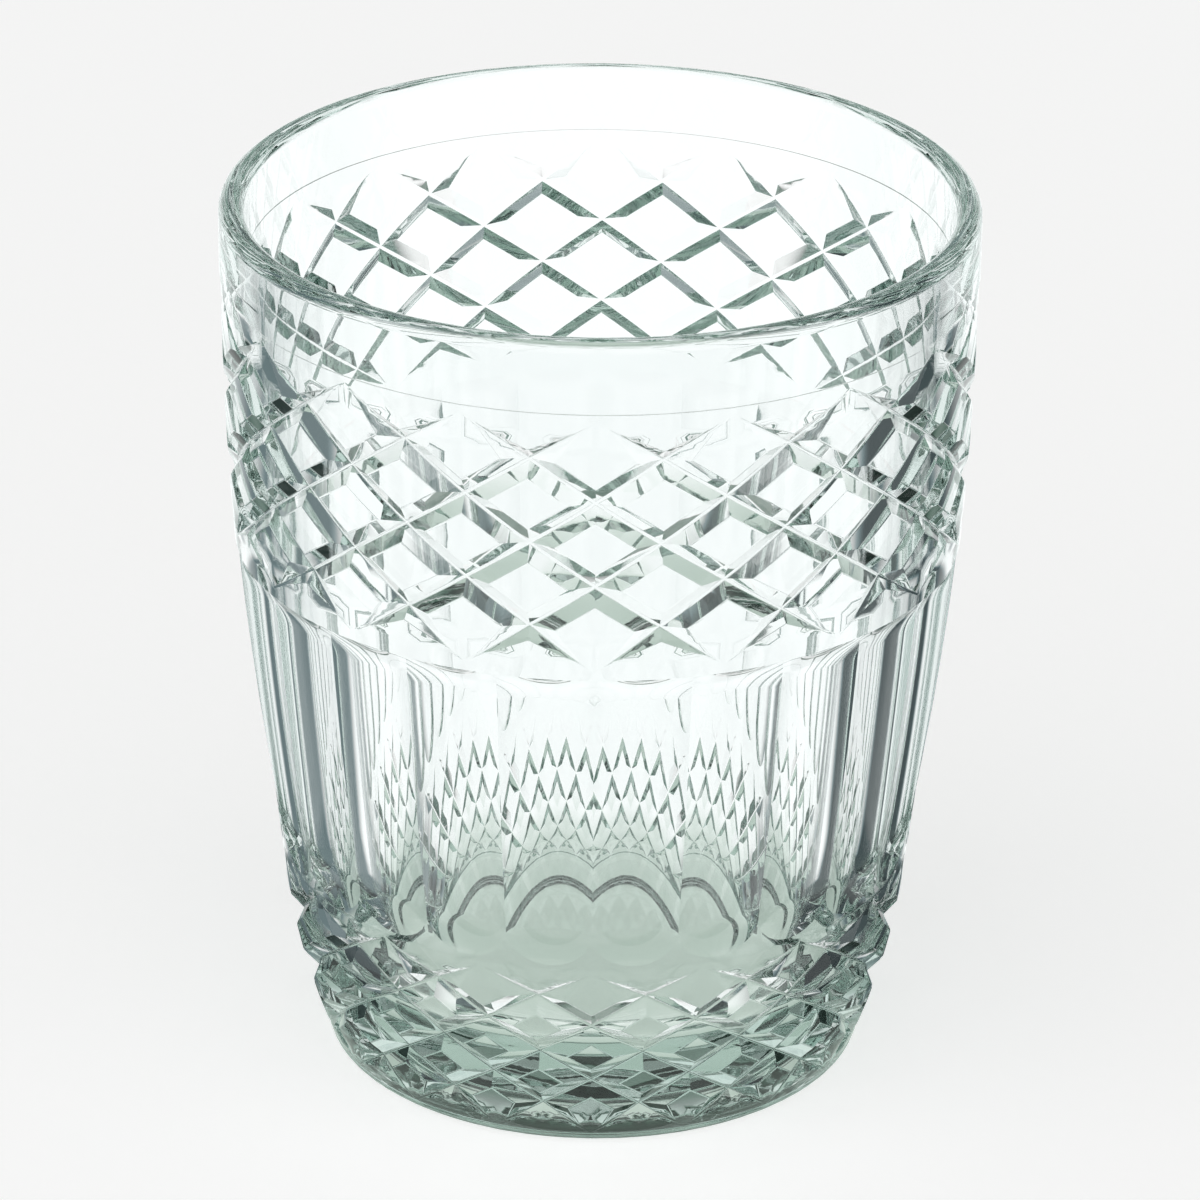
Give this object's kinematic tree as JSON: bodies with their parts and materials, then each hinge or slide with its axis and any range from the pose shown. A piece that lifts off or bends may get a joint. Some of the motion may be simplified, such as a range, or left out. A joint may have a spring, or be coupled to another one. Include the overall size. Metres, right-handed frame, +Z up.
{
  "type": "whiskey tumbler",
  "caption": "Pressed glass tumbler for a short drink: a plain lip, belts of raised diamonds above and below a belt of hollow flutes, and a thick floor on a flat standing ring.",
  "frame": {"origin": "centre of the flat ring that the glass stands on", "axes": "+Z up along the glass's axis, -Y towards the column of lattice crossings that faces the viewer, +X to the viewer's right"},
  "size_m": [0.0824, 0.0824, 0.1],
  "materials": {
    "smoke_green_glass": "clear fire-polished soda-lime glass with a pale grey-green tint"
  },
  "bodies": {
    "root": {"glass_body": "smoke_green_glass"}
  },
  "joints": []
}
